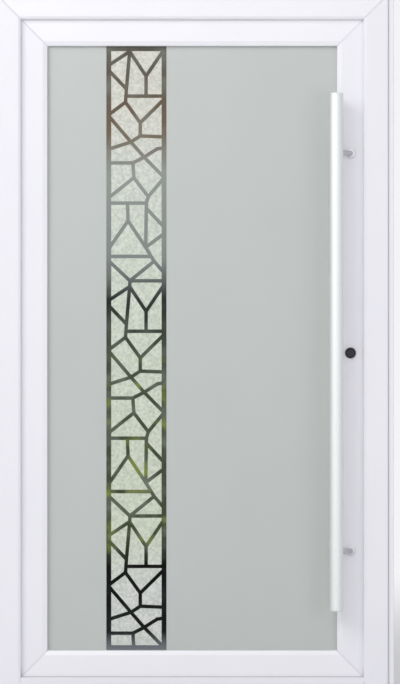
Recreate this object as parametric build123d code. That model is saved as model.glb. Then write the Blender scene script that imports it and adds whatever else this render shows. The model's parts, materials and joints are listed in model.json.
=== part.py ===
from build123d import *
import os
from math import atan2, ceil, degrees, hypot

# A glazed front door in its fixed frame, in millimetres. Seen from outside, +X is to the right,
# -Y comes out of the house and +Z is up. The origin is under the middle of the threshold, half way
# through the frame. Depths are counted inwards from the frame's outside face.

# Overall size and the fixed frame
overall_width = 1250
overall_height = 2160
frame_depth = 70
frame_face = 74.5
frame_nib = 16
frame_bevel = 8
frame_bevel_depth = 4
trim_width = 18
trim_groove = 3
threshold_height = 24
threshold_base = 6
threshold_slope = 5
tread_groove_count = 5
tread_groove_pitch = 8
tread_groove_width = 2
tread_groove_depth = 1
corner_radius = 2

# The leaf and how it sits in the frame
leaf_depth = 70
leaf_face = 82
leaf_setback = 8
leaf_overlap = 8
air_gap = 12
flange_gap = 8
leaf_bevel = 14
leaf_bevel_depth = 5
lip_thickness = 20
glazing_rebate = 20

# Seals
seal_width = 6
seal_thickness = 3
seal_inset = 1
bottom_seal_height = 5
bottom_seal_inset = 6
bottom_seal_margin = 5

# Sealed glass unit and its beads
outer_pane_thickness = 6
inner_pane_thickness = 4
cavity = 16
pane_clearance = 5
spacer_inset = 3
spacer_width = 9
glazing_gasket = 3
bead_lip = 7
bead_slope = 6

# Strip of clear lines left in the satin finish of the outer pane
strip_centre = -174
strip_width = 172
border_width = 15
line_width = 11
line_relief = 0.6
tile_height = 732
tile_lead = 2

# Pull bar on its two slanted brackets
bar_length = 1600
bar_diameter = 45
bar_wall = 2
bar_cap = 6
bar_cap_round = 4
bar_spigot = 18
bar_spigot_clearance = 0.1
bar_centre_height = 1034
bar_reach = 75
bar_offset = 48
bracket_spacing = 1234
bracket_diameter = 18
bracket_base_diameter = 30
bracket_base_thickness = 8
bracket_seat = 0.1

# Lock: cylinder, inside furniture, faceplate in the leaf's edge and keeps on the jamb
lock_height = 1031
cylinder_diameter = 22
cylinder_clearance = 0.3
cylinder_nose = 2
keyway_width = 2.5
keyway_height = 9
keyway_depth = 6
rose_diameter = 34
rose_thickness = 8
rose_round = 2.5
lever_spacing = 92
backplate_width = 34
backplate_length = 240
backplate_thickness = 9
backplate_round = 3
lever_boss_diameter = 28
lever_boss_thickness = 4
lever_diameter = 19
lever_standoff = 45
lever_length = 125
lever_bend = 16
lever_end_round = 4
faceplate_width = 16
faceplate_thickness = 3
faceplate_head_gap = 52.5
faceplate_foot_gap = 217
faceplate_depth = 54
latch_height = 30
latch_width = 10
latch_nose = 2
latch_bevel = 1.5
hook_end_distance = 240
hook_height = 64
hook_width = 8
hook_round = 1.5
keep_width = 26
keep_thickness = 3
keep_length = 160
keep_recess_depth = 1.5
keep_recess_margin = 8

# Three barrel hinges on the inside
hinge_end_distance = 300
hinge_offset = 15.5
hinge_rise = 3
hinge_height = 110
knuckle_diameter = 20
knuckle_gap = 0.3
pin_diameter = 10
pin_clearance = 0.05
hinge_plate = 5
frame_plate_width = 34
leaf_plate_width = 43
leaf_plate_inset = 2.5
hinge_plate_round = 4

# Places worked out from the sizes above
profile_edge = overall_width / 2 - trim_width
profile_top = overall_height - trim_width
nib_edge = profile_edge - frame_face
nib_top = profile_top - frame_face
rebate = leaf_overlap + air_gap
rebate_edge = nib_edge + rebate
leaf_edge = nib_edge + leaf_overlap
leaf_top = nib_top + leaf_overlap
leaf_bottom = threshold_height - leaf_overlap
leaf_outside = frame_nib + leaf_setback
leaf_inside = leaf_outside + leaf_depth
flange_front = frame_depth + flange_gap
lip_width = leaf_face + leaf_overlap
rebate_wall = lip_width - glazing_rebate
opening_edge = leaf_edge - lip_width
opening_top = leaf_top - lip_width
opening_bottom = leaf_bottom + lip_width
lip_back = leaf_outside + lip_thickness
pane_outside = lip_back + glazing_gasket
cavity_outside = pane_outside + outer_pane_thickness
cavity_inside = cavity_outside + cavity
pane_inside = cavity_inside + inner_pane_thickness
pane_margin = rebate_wall + pane_clearance
lock_x = nib_edge - leaf_face / 2
lever_height = lock_height + lever_spacing
groove_outside = faceplate_depth - faceplate_width / 2
groove_inside = faceplate_depth + faceplate_width / 2
faceplate_top = leaf_top - faceplate_head_gap
faceplate_bottom = leaf_bottom + faceplate_foot_gap
hook_heights = {
    "upper": faceplate_top - hook_end_distance,
    "lower": faceplate_bottom + hook_end_distance,
}
hinge_x = -(leaf_edge + rebate + hinge_offset)
hinge_heights = {
    "lower": hinge_end_distance,
    "middle": overall_height / 2,
    "upper": overall_height - hinge_end_distance,
}


def y_at(depth):
    """Place along Y of a depth counted from the frame's outside face."""
    return depth - frame_depth / 2


def section(corners):
    """A closed outline from corners (a, b, radius), rounded where the radius isn't 0."""
    face = make_face(Polyline(*[(a, b) for a, b, _ in corners], close=True))
    for a, b, radius in corners:
        if radius:
            face = fillet(face.vertices().sort_by_distance((a, b, 0))[:1], radius)
    return face


def upright(outline, edge):
    """A profile run up the lock side; outline gives (inset from the edge, depth, radius)."""
    corners = [(edge - inset, y_at(depth), radius) for inset, depth, radius in outline]
    return extrude(section(corners), overall_height, dir=(0, 0, 1))


def crosspiece(outline, edge, inwards):
    """A profile run across; inwards is -1 under a top edge and 1 over a bottom edge."""
    corners = [(y_at(depth), edge + inwards * inset, radius) for inset, depth, radius in outline]
    return extrude(Plane.YZ * section(corners), overall_width / 2, both=True)


def trimmed(run, corners):
    """The part of a run inside a polygon of (x, z) corners, which gives it its mitred ends."""
    outline = make_face(Polyline(*corners, close=True))
    return run & extrude(Plane.XZ * outline, overall_width, both=True)


def block(x_range, depth_range, z_range):
    """A box between two places along X, two depths and two heights."""
    spans = (x_range, [y_at(depth) for depth in depth_range], z_range)
    sizes = [max(span) - min(span) for span in spans]
    return Pos(*[sum(span) / 2 for span in spans]) * Box(*sizes)


def ring(inset, width, depth, thickness):
    """A flat rectangular ring inside the leaf's outline, from one depth to another."""
    reach, top, low = leaf_edge - inset, leaf_top - inset, leaf_bottom + inset
    depths = (depth, depth + thickness)
    outer = block((-reach, reach), depths, (low, top))
    return outer - block((width - reach, reach - width), depths, (low + width, top - width))


def rod(start, end, radius):
    """A round rod between two points."""
    axis = Vector(*end) - Vector(*start)
    return extrude(Plane(origin=start, z_dir=axis) * Circle(radius), axis.length)


def other_side(piece):
    """The same piece on the hinge side."""
    return mirror(piece, about=Plane.YZ)


def frame_pieces():
    """Jambs and head mitred at the top, the trim round them and the threshold between the jambs."""
    profile = [
        (0, 0, 0),
        (frame_face - frame_bevel, 0, corner_radius),
        (frame_face, frame_bevel_depth, corner_radius),
        (frame_face, frame_nib, 0),
        (frame_face - rebate, frame_nib, 0),
        (frame_face - rebate, frame_depth, corner_radius),
        (0, frame_depth, 0),
    ]
    trim = [
        (0, 0, corner_radius),
        (trim_width - trim_groove, 0, 0),
        (trim_width - trim_groove, trim_groove, 0),
        (trim_width, trim_groove, 0),
        (trim_width, frame_depth, 0),
        (0, frame_depth, corner_radius),
    ]
    half, top = overall_width / 2, overall_height
    outer_corner, profile_corner = (half, top), (profile_edge, profile_top)
    nib_corner = (nib_edge, nib_top)
    jamb = trimmed(upright(profile, profile_edge),
                   [(profile_edge, 0), profile_corner, nib_corner, (nib_edge, 0)])
    head = trimmed(crosspiece(profile, profile_top, -1),
                   [(-profile_edge, profile_top), profile_corner, nib_corner, (-nib_edge, nib_top)])
    side_trim = trimmed(upright(trim, half),
                        [(half, 0), outer_corner, profile_corner, (profile_edge, 0)])
    head_trim = trimmed(crosspiece(trim, top, -1),
                        [(-half, top), outer_corner, profile_corner, (-profile_edge, profile_top)])
    return {
        "frame_lock_jamb": jamb,
        "frame_hinge_jamb": other_side(jamb),
        "frame_head": head,
        "edge_trim_lock_side": side_trim,
        "edge_trim_hinge_side": other_side(side_trim),
        "edge_trim_head": head_trim,
        "threshold": threshold(),
        "frame_gasket": ring(seal_inset, seal_width, frame_nib, seal_thickness),
    }


def threshold():
    """An upstand between the nibs that sheds water outwards, and a low ribbed tread behind it."""
    upstand = [
        (0, 0, 0),
        (threshold_height - threshold_slope, 0, corner_radius),
        (threshold_height, threshold_slope, corner_radius),
        (threshold_height, frame_nib, 0),
        (0, frame_nib, 0),
    ]
    front = trimmed(crosspiece(upstand, 0, 1),
                    [(-nib_edge, 0), (nib_edge, 0),
                     (nib_edge, threshold_height), (-nib_edge, threshold_height)])
    tread = block((-rebate_edge, rebate_edge), (frame_nib, frame_depth), (0, threshold_base))
    tread_middle = (frame_nib + frame_depth) / 2
    for number in range(tread_groove_count):
        middle = tread_middle + (number - (tread_groove_count - 1) / 2) * tread_groove_pitch
        tread -= block((-rebate_edge, rebate_edge),
                       (middle - tread_groove_width / 2, middle + tread_groove_width / 2),
                       (threshold_base - tread_groove_depth, threshold_base))
    return front + tread


def leaf_pieces():
    """Stiles and rails of one profile, mitred, with the lock's groove round the edge.

    The bottom rail has no flange and no groove, to clear the floor and carry its seal.
    """
    face_side = [
        (0, leaf_outside, corner_radius),
        (lip_width - leaf_bevel, leaf_outside, corner_radius),
        (lip_width, leaf_outside + leaf_bevel_depth, corner_radius),
        (lip_width, lip_back, 0),
        (rebate_wall, lip_back, 0),
        (rebate_wall, leaf_inside, 0),
    ]
    flange_side = [
        (-rebate, leaf_inside, corner_radius),
        (-rebate, flange_front, corner_radius),
        (0, flange_front, 0),
        (0, groove_inside, 0),
        (faceplate_thickness, groove_inside, 0),
        (faceplate_thickness, groove_outside, 0),
        (0, groove_outside, 0),
    ]
    plain_side = [(0, leaf_inside, corner_radius)]
    tip_edge, tip_top = leaf_edge + rebate, leaf_top + rebate
    upper_corner, lower_corner = (opening_edge, opening_top), (opening_edge, opening_bottom)
    stile = trimmed(upright(face_side + flange_side, leaf_edge),
                    [(tip_edge, tip_top), upper_corner, lower_corner,
                     (leaf_edge, leaf_bottom), (tip_edge, leaf_bottom)])
    top_rail = trimmed(crosspiece(face_side + flange_side, leaf_top, -1),
                       [(-tip_edge, tip_top), (tip_edge, tip_top),
                        upper_corner, (-opening_edge, opening_top)])
    bottom_rail = trimmed(crosspiece(face_side + plain_side, leaf_bottom, 1),
                          [(-leaf_edge, leaf_bottom), (leaf_edge, leaf_bottom),
                           lower_corner, (-opening_edge, opening_bottom)])
    seal_edge, seal_top = tip_edge - seal_inset, tip_top - seal_inset
    seal_depths = (flange_front - seal_thickness, flange_front)
    flange_seal = block((-seal_edge, seal_edge), seal_depths, (leaf_bottom, seal_top))
    flange_seal -= block((seal_width - seal_edge, seal_edge - seal_width), seal_depths,
                         (leaf_bottom, seal_top - seal_width))
    bottom_seal = block((bottom_seal_margin - leaf_edge, leaf_edge - bottom_seal_margin),
                        (leaf_outside + bottom_seal_inset, frame_depth - bottom_seal_inset),
                        (leaf_bottom - bottom_seal_height, leaf_bottom))
    return {
        "leaf_lock_stile": stile - cylinder_bore(0, leaf_inside + backplate_thickness),
        "leaf_hinge_stile": other_side(stile),
        "leaf_top_rail": top_rail,
        "leaf_bottom_rail": bottom_rail,
        "leaf_gasket": flange_seal,
        "bottom_seal": bottom_seal,
    }


def glazing_pieces():
    """The glass unit against the leaf's outer lip, and the beads that hold it from inside."""
    reach, top, low = leaf_edge - pane_margin, leaf_top - pane_margin, leaf_bottom + pane_margin
    bead = [
        (rebate_wall, pane_inside, 0),
        (lip_width, pane_inside, 0),
        (lip_width, pane_inside + bead_lip, corner_radius),
        (lip_width - bead_slope, leaf_inside, corner_radius),
        (rebate_wall, leaf_inside, 0),
    ]
    wall_edge = leaf_edge - rebate_wall
    wall_top, wall_low = leaf_top - rebate_wall, leaf_bottom + rebate_wall
    upper_corner, lower_corner = (opening_edge, opening_top), (opening_edge, opening_bottom)
    side_bead = trimmed(upright(bead, leaf_edge),
                        [(wall_edge, wall_top), upper_corner, lower_corner, (wall_edge, wall_low)])
    top_bead = trimmed(crosspiece(bead, leaf_top, -1),
                       [(-wall_edge, wall_top), (wall_edge, wall_top),
                        upper_corner, (-opening_edge, opening_top)])
    bottom_bead = trimmed(crosspiece(bead, leaf_bottom, 1),
                          [(-wall_edge, wall_low), (wall_edge, wall_low),
                           lower_corner, (-opening_edge, opening_bottom)])
    return {
        "outer_pane": block((-reach, reach), (pane_outside, cavity_outside), (low, top)),
        "inner_pane": block((-reach, reach), (cavity_inside, pane_inside), (low, top)),
        "glazing_spacer": ring(pane_margin + spacer_inset, spacer_width, cavity_outside, cavity),
        "outer_glazing_gasket": ring(pane_margin, lip_width - pane_margin, lip_back, glazing_gasket),
        "lock_side_bead": side_bead,
        "hinge_side_bead": other_side(side_bead),
        "top_bead": top_bead,
        "bottom_bead": bottom_bead,
        "motif_lines": motif_lines(),
    }


def motif_tile():
    """One repeat of the crazed lines: pairs of points, across from the left and down from the top."""
    left, right = 0, strip_width
    peak, crook, notch, tee = (65, 18), (55, 135), (116, 95), (116, 157)
    fork, valley, stem, star = (52, 176), (98, 240), (98, 281), (69, 300)
    cross, elbow, kink, step = (110, 347), (75, 365), (151, 321), (78, 411)
    ledge, shelf, post, gable = (123, 470), (117, 490), (58, 490), (60, 545)
    heel, spur, toe, knee = (115, 628), (118, 507), (130, 656), (141, 671)
    start, end = (66, 0), (66, tile_height)
    return [
        (start, (right, 0)), (start, peak), ((left, 61), peak), (peak, crook), ((left, 77), crook),
        (peak, notch), ((right, 12), notch), (notch, tee), ((54, 157), (right, 157)), (crook, fork),
        (fork, (left, 215)), (fork, valley), ((right, 167), valley), (valley, stem), (stem, (right, 284)),
        ((left, 219), star), (star, cross), (cross, (right, 410)), ((left, 322), star), (star, stem),
        ((left, 365), elbow), (elbow, cross), (cross, kink), (kink, (right, 318)), (elbow, step),
        (step, (left, 473)), (step, ledge), ((right, 411), ledge), (ledge, shelf), ((left, 490), shelf),
        (post, gable), (gable, (left, 632)), (gable, heel), (shelf, heel), (spur, (right, 565)),
        ((right, 585), heel), ((left, 656), toe), (heel, knee), (knee, (right, 707)), (knee, end),
        ((left, 670), end),
    ]


def motif_lines():
    """The strip of lines as a thin net on each face of the outer pane, bordered by broad lines."""
    height = opening_top - opening_bottom
    strip_left = strip_centre - strip_width / 2
    bars = []
    for repeat in range(ceil((height + tile_lead) / tile_height)):
        tile_top = opening_top + tile_lead - repeat * tile_height
        for (across, down), (far_across, far_down) in motif_tile():
            run, fall = far_across - across, down - far_down
            middle = (strip_left + across + run / 2, tile_top - (down + far_down) / 2)
            bar = Rectangle(hypot(run, fall) + line_width / 2, line_width)
            bars.append(Pos(*middle) * Rot(0, 0, degrees(atan2(fall, run))) * bar)
    place = Pos(strip_centre, (opening_top + opening_bottom) / 2)
    strip = place * Rectangle(strip_width + border_width, height)
    inside = place * Rectangle(strip_width - border_width, height - 2 * border_width)
    net = (strip - inside) + [bar & strip for bar in bars]
    front = extrude(Plane.XZ.offset(-y_at(pane_outside)) * net, line_relief)
    back = extrude(Plane.XZ.offset(-y_at(cavity_outside)) * net, -line_relief)
    return Compound(children=[*front.solids(), *back.solids()])


def pull_bar_pieces():
    """A capped tube that stands off the lock stile on two rods slanting back to round feet."""
    bar_x, bar_y = lock_x - bar_offset, y_at(leaf_outside) - bar_reach
    low, high = bar_centre_height - bar_length / 2, bar_centre_height + bar_length / 2
    radius = bar_diameter / 2
    tube_low, tube_high = low + bar_cap, high - bar_cap
    tube = rod((bar_x, bar_y, tube_low), (bar_x, bar_y, tube_high), radius)
    tube -= rod((bar_x, bar_y, tube_low), (bar_x, bar_y, tube_high), radius - bar_wall)
    disc = rod((bar_x, bar_y, tube_high), (bar_x, bar_y, high), radius)
    disc = fillet(disc.edges().group_by(Axis.Z)[-1], bar_cap_round)
    spigot_radius = radius - bar_wall - bar_spigot_clearance
    top_cap = disc + rod((bar_x, bar_y, tube_high - bar_spigot), (bar_x, bar_y, tube_high),
                         spigot_radius)
    bottom_cap = Pos(0, 0, 2 * bar_centre_height) * mirror(top_cap, about=Plane.XY)
    pieces = {"pull_bar": tube, "pull_bar_top_cap": top_cap, "pull_bar_bottom_cap": bottom_cap}
    for name, side in (("upper_bracket", 1), ("lower_bracket", -1)):
        pieces[name] = bracket(bar_x, bar_y, bar_centre_height + side * bracket_spacing / 2)
    return pieces


def bracket(bar_x, bar_y, height):
    """A foot on the stile and a slanted rod, hollowed at its end to seat on the bar."""
    foot_face = y_at(leaf_outside)
    foot = rod((lock_x, foot_face, height), (lock_x, foot_face - bracket_base_thickness, height),
               bracket_base_diameter / 2)
    foot = fillet(foot.edges().group_by(Axis.Y)[0], bracket_base_thickness / 4)
    arm = rod((lock_x, foot_face - bracket_base_thickness, height), (bar_x, bar_y, height),
              bracket_diameter / 2)
    seat = rod((bar_x, bar_y, height - bar_diameter), (bar_x, bar_y, height + bar_diameter),
               bar_diameter / 2 + bracket_seat)
    behind = block((lock_x - bar_diameter, lock_x + bar_diameter), (leaf_outside, leaf_inside),
                   (height - bar_diameter, height + bar_diameter))
    return foot + (arm - seat - behind)


def cylinder_bore(start, end):
    """The clearance hole for the lock cylinder between two depths."""
    return rod((lock_x, y_at(start), lock_height), (lock_x, y_at(end), lock_height),
               cylinder_diameter / 2 + cylinder_clearance)


def lock_pieces():
    """Cylinder with its outside rose, and the lever on its long plate inside."""
    plate_outside, plate_inside = leaf_inside, leaf_inside + backplate_thickness
    rose = rod((lock_x, y_at(leaf_outside), lock_height),
               (lock_x, y_at(leaf_outside - rose_thickness), lock_height), rose_diameter / 2)
    rose = fillet(rose.edges().group_by(Axis.Y)[0], rose_round)
    rose -= cylinder_bore(leaf_outside - 2 * rose_thickness, leaf_outside)
    key_faces = (leaf_outside - rose_thickness - cylinder_nose, plate_inside + cylinder_nose)
    cylinder = rod((lock_x, y_at(key_faces[0]), lock_height), (lock_x, y_at(key_faces[1]), lock_height),
                   cylinder_diameter / 2)
    for face, inwards in zip(key_faces, (1, -1)):
        cylinder -= block((lock_x - keyway_width / 2, lock_x + keyway_width / 2),
                          (face, face + inwards * keyway_depth),
                          (lock_height - keyway_height / 2, lock_height + keyway_height / 2))
    plate_middle = (lock_height + lever_height) / 2
    plate = extrude(Plane.XZ.offset(-y_at(plate_outside)) * Pos(lock_x, plate_middle) * Rot(0, 0, 90)
                    * SlotOverall(backplate_length, backplate_width), -backplate_thickness)
    plate = fillet(plate.edges().group_by(Axis.Y)[-1], backplate_round)
    plate -= cylinder_bore(plate_outside, plate_inside)
    boss_face = y_at(plate_inside) + lever_boss_thickness
    plate += rod((lock_x, y_at(plate_inside), lever_height), (lock_x, boss_face, lever_height),
                 lever_boss_diameter / 2)
    start = (lock_x, boss_face, lever_height)
    bend = (lock_x, y_at(plate_inside) + lever_standoff, lever_height)
    tip = (lock_x - lever_length, y_at(plate_inside) + lever_standoff, lever_height)
    lever = sweep(Plane(origin=start, z_dir=(0, 1, 0)) * Circle(lever_diameter / 2),
                  path=FilletPolyline(start, bend, tip, radius=lever_bend))
    lever = fillet(lever.edges().group_by(Axis.X)[0], lever_end_round)
    return {
        "cylinder_rose": rose,
        "lock_cylinder": cylinder,
        "inside_backplate": plate,
        "inside_lever": lever,
        **edge_hardware(),
    }


def bolt(width, height, middle, nose):
    """The end of a bolt in the faceplate, standing out of it by its nose."""
    return block((leaf_edge - faceplate_thickness, leaf_edge + nose),
                 (faceplate_depth - width / 2, faceplate_depth + width / 2),
                 (middle - height / 2, middle + height / 2))


def edge_hardware():
    """The faceplate in the groove of the lock stile with its drawn-back bolts, and their keeps."""
    faceplate = block((leaf_edge - faceplate_thickness, leaf_edge), (groove_outside, groove_inside),
                      (faceplate_bottom, faceplate_top))
    latch = bolt(latch_width, latch_height, lever_height, latch_nose)
    faceplate -= latch
    leading_edges = latch.edges().filter_by(Axis.Z).group_by(Axis.X)[-1].sort_by(Axis.Y)
    pieces = {"latch_bolt": chamfer(leading_edges[-1:], latch_bevel), "latch_keep": keep(lever_height)}
    for name, height in hook_heights.items():
        hook = bolt(hook_width, hook_height, height, 0)
        faceplate -= hook
        nose_ends = hook.edges().filter_by(Axis.Y).group_by(Axis.X)[-1]
        pieces[f"{name}_hook_bolt"] = fillet(nose_ends, hook_round)
        pieces[f"{name}_hook_keep"] = keep(height)
    pieces["lock_faceplate"] = faceplate
    return pieces


def keep(height):
    """A steel plate on the jamb's rebate, dished where a bolt of the lock would enter."""
    depths = (faceplate_depth - keep_width / 2, faceplate_depth + keep_width / 2)
    plate = block((rebate_edge - keep_thickness, rebate_edge), depths,
                  (height - keep_length / 2, height + keep_length / 2))
    dish = block((rebate_edge - keep_thickness, rebate_edge - keep_thickness + keep_recess_depth),
                 (depths[0] + keep_recess_margin, depths[1] - keep_recess_margin),
                 (height - keep_length / 4, height + keep_length / 4))
    return plate - dish


def hinge_pieces():
    """For each hinge a fixed half with two knuckles and the pin, and a leaf half between them."""
    pieces = {}
    for name, height in hinge_heights.items():
        pieces[f"{name}_hinge_frame_half"] = hinge_frame_half(height)
        pieces[f"{name}_hinge_leaf_half"] = hinge_leaf_half(height)
    return pieces


def hinge_frame_half(height):
    """A plate on the frame's inside face that carries the outer knuckles and the pin."""
    axis_y = y_at(leaf_inside) + hinge_rise
    radius, half = knuckle_diameter / 2, hinge_height / 2
    low, high = height - half, height + half
    plate_edge = hinge_x + radius
    plate_face = frame_depth + hinge_plate
    plate = block((plate_edge - frame_plate_width, plate_edge), (frame_depth, plate_face), (low, high))
    plate = fillet(plate.edges().filter_by(Axis.Y).group_by(Axis.X)[0], hinge_plate_round)
    web = block((hinge_x - radius, plate_edge), (plate_face, leaf_inside + hinge_rise), (low, high))
    barrel = rod((hinge_x, axis_y, low), (hinge_x, axis_y, high), radius)
    middle = block((hinge_x - radius, plate_edge), (plate_face, leaf_inside + hinge_rise + radius),
                   (height - half / 3, height + half / 3))
    pin = rod((hinge_x, axis_y, low), (hinge_x, axis_y, high), pin_diameter / 2)
    return plate + ((web + barrel) - middle) + pin


def hinge_leaf_half(height):
    """A plate on the leaf's inside face with an arm to the middle knuckle."""
    axis_y = y_at(leaf_inside) + hinge_rise
    half, arm = hinge_height / 2, hinge_height / 6 - knuckle_gap
    plate_start = -(leaf_edge + rebate) + leaf_plate_inset
    depths = (leaf_inside, leaf_inside + hinge_plate)
    plate = block((plate_start, plate_start + leaf_plate_width), depths, (height - half, height + half))
    plate = fillet(plate.edges().filter_by(Axis.Y).group_by(Axis.X)[-1], hinge_plate_round)
    tongue = block((hinge_x, plate_start), depths, (height - arm, height + arm))
    knuckle = rod((hinge_x, axis_y, height - arm), (hinge_x, axis_y, height + arm),
                  knuckle_diameter / 2)
    bore = rod((hinge_x, axis_y, height - half), (hinge_x, axis_y, height + half),
               pin_diameter / 2 + pin_clearance)
    return plate + (tongue + knuckle - bore)


def main():
    pieces = {
        **frame_pieces(), **leaf_pieces(), **glazing_pieces(),
        **pull_bar_pieces(), **lock_pieces(), **hinge_pieces(),
    }
    os.makedirs("parts", exist_ok=True)
    for name, piece in pieces.items():
        export_step(piece, f"parts/{name}.step")
    print(len(pieces), "pieces")


main()
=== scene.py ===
import json
import math

import bmesh
import bpy
import numpy as np
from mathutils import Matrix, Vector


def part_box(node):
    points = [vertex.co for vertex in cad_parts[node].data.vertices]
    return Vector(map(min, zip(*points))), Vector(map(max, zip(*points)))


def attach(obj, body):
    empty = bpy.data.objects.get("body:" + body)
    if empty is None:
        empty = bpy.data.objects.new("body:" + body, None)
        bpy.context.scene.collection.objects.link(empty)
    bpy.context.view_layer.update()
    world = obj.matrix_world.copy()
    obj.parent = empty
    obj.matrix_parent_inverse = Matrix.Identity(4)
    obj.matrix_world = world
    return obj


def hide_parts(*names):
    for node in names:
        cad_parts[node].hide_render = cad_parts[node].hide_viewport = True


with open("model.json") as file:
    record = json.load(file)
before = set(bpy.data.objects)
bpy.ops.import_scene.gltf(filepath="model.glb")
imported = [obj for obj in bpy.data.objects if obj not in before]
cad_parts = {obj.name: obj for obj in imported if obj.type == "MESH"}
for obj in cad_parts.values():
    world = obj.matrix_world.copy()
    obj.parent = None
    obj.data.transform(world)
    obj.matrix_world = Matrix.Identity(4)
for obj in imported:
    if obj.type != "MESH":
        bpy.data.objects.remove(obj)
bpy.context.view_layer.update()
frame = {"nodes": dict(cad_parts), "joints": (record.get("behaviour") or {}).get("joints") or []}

nodes = frame["nodes"]
mm = 0.001
hingeHalves = {side: [f"{place}_hinge_{side}_half" for place in ("lower", "middle", "upper")]
               for side in ("frame", "leaf")}
print("frame loaded:", len(nodes), "nodes")


def linear(hexColour):
    # sRGB hex to the linear red, green, blue and alpha that the shaders take
    parts = np.array([int(hexColour[i:i + 2], 16) for i in (0, 2, 4)]) / 255
    curve = np.where(parts <= 0.04045, parts / 12.92, ((parts + 0.055) / 1.055) ** 2.4)
    return (*curve.tolist(), 1.0)


def addNode(tree, kind, values=None, links=None, stops=None, **settings):
    # one shader node: its own settings, its socket values, what feeds its sockets, and a ramp's stops
    node = tree.nodes.new(kind)
    for key, value in settings.items():
        setattr(node, key, value)
    for key, value in (values or {}).items():
        node.inputs[key].default_value = value
    for key, socket in (links or {}).items():
        tree.links.new(socket, node.inputs[key])
    for number, (position, colour) in enumerate(stops or []):
        elements = node.color_ramp.elements
        element = elements[number] if number < 2 else elements.new(position)
        element.position, element.color = position, colour
    return node


def startMaterial(name):
    material = bpy.data.materials.new(name)
    material.use_nodes = True
    material.node_tree.nodes.clear()
    return material, material.node_tree


def finishMaterial(tree, values, links):
    shader = addNode(tree, "ShaderNodeBsdfPrincipled", values, links)
    addNode(tree, "ShaderNodeOutputMaterial", None, {"Surface": shader.outputs[0]})


def softened(corners, radius, steps):
    # every corner gives way to a quadratic arc that starts and ends a radius from it, at most half a side
    corners = np.asarray(corners, float)
    sides = [np.roll(corners, 1, axis=0) - corners, np.roll(corners, -1, axis=0) - corners]
    shortest = 1e-9                                # keeps a side of no length from dividing by zero
    lengths = [np.maximum(np.linalg.norm(side, axis=1, keepdims=True), shortest) for side in sides]
    reach = np.broadcast_to(np.asarray(radius, float), len(corners))[:, None]
    ends = [corners + side / size * np.minimum(reach, size / 2) for side, size in zip(sides, lengths)]
    t = np.linspace(0, 1, steps)[None, :, None]
    arcs = (1 - t) ** 2 * ends[0][:, None] + 2 * t * (1 - t) * corners[:, None] + t ** 2 * ends[1][:, None]
    return arcs.reshape(-1, corners.shape[1])


def squareTo(axis):
    # a unit direction across an axis that runs along X, Y or Z
    return np.cross(axis, (0, 0, 1) if axis[0] else (1, 0, 0))


def turned(profile, origin, axis, steps):
    # profile points (radius, distance) go round an axis: origin + distance * axis + radius * (cos, sin)
    axis = np.asarray(axis, float)
    across = squareTo(axis)
    angle = np.linspace(0, 2 * math.pi, steps, endpoint=False)[:, None]
    ring = np.cos(angle) * across + np.sin(angle) * np.cross(axis, across)
    profile = np.asarray(profile, float)
    return np.asarray(origin) + profile[:, None, 1:] * axis + profile[:, None, :1] * ring


def swept(path, radii, up, steps):
    # a circle carried along a path: each point's ring lies across the path's own direction there
    path, up = np.asarray(path, float), np.asarray(up, float)
    heading = np.gradient(path, axis=0)
    heading /= np.linalg.norm(heading, axis=1, keepdims=True)
    side = np.cross(heading, up)
    side /= np.linalg.norm(side, axis=1, keepdims=True)
    angle = np.linspace(0, 2 * math.pi, steps, endpoint=False)[None, :, None]
    ring = np.cos(angle) * side[:, None] + np.sin(angle) * np.cross(side, heading)[:, None]
    return path[:, None] + np.asarray(radii)[:, None, None] * ring


def mitred(profile, corners, inwards):
    # profile points (inset, depth) go round the corners: each moves in by its inset on the corner's diagonal
    profile, corners = np.asarray(profile, float), np.asarray(corners, float)
    points = np.zeros((len(corners), len(profile), 3))
    points[:, :, [0, 2]] = corners[:, None] + profile[None, :, :1] * np.asarray(inwards, float)[:, None]
    points[:, :, 1] = profile[None, :, 1]
    return points


meshSettings = {"merge": 0.001 * mm, "sharp": 35}   # points this close are one, edges past this angle sharp


def meshFromGrids(name, grids):
    # each grid of points (rows x columns) becomes quads, joined round where closed and capped where asked
    mesh = bpy.data.meshes.new(name)
    allPoints, allFaces, offset = [], [], 0
    for grid in grids:
        points = grid["points"]
        rows, columns = points.shape[:2]
        index = offset + np.arange(rows * columns).reshape(rows, columns)
        loops = np.vstack([index, index[:1]]) if grid.get("closeRows") else index
        loops = np.hstack([loops, loops[:, :1]]) if grid.get("closeColumns") else loops
        quads = np.stack([loops[:-1, :-1], loops[1:, :-1], loops[1:, 1:], loops[:-1, 1:]], axis=-1)
        allFaces += quads.reshape(-1, 4).tolist()
        if grid.get("capped"):
            allFaces += [index[0].tolist(), index[-1].tolist()]
        allPoints.append(points.reshape(-1, 3))
        offset += rows * columns
    mesh.from_pydata(np.vstack(allPoints).tolist(), [], allFaces)
    work = bmesh.new()
    work.from_mesh(mesh)
    bmesh.ops.remove_doubles(work, verts=work.verts, dist=meshSettings["merge"])
    bmesh.ops.dissolve_degenerate(work, edges=work.edges, dist=meshSettings["merge"])
    bmesh.ops.recalc_face_normals(work, faces=work.faces)
    work.to_mesh(mesh)
    work.free()
    mesh.polygons.foreach_set("use_smooth", np.ones(len(mesh.polygons), bool))
    mesh.set_sharp_from_angle(angle=math.radians(meshSettings["sharp"]))
    return mesh


def addPiece(name, mesh, material, body, replaced=()):
    piece = bpy.data.objects.new(name, mesh)
    bpy.context.scene.collection.objects.link(piece)
    mesh.materials.append(material)
    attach(piece, body)
    if replaced:
        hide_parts(*replaced)


def dress(material, *names):
    for name in names:
        nodes[name].data.materials.clear()
        nodes[name].data.materials.append(material)


def boxOf(node):
    low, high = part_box(node)
    return np.array(low), np.array(high)


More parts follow.
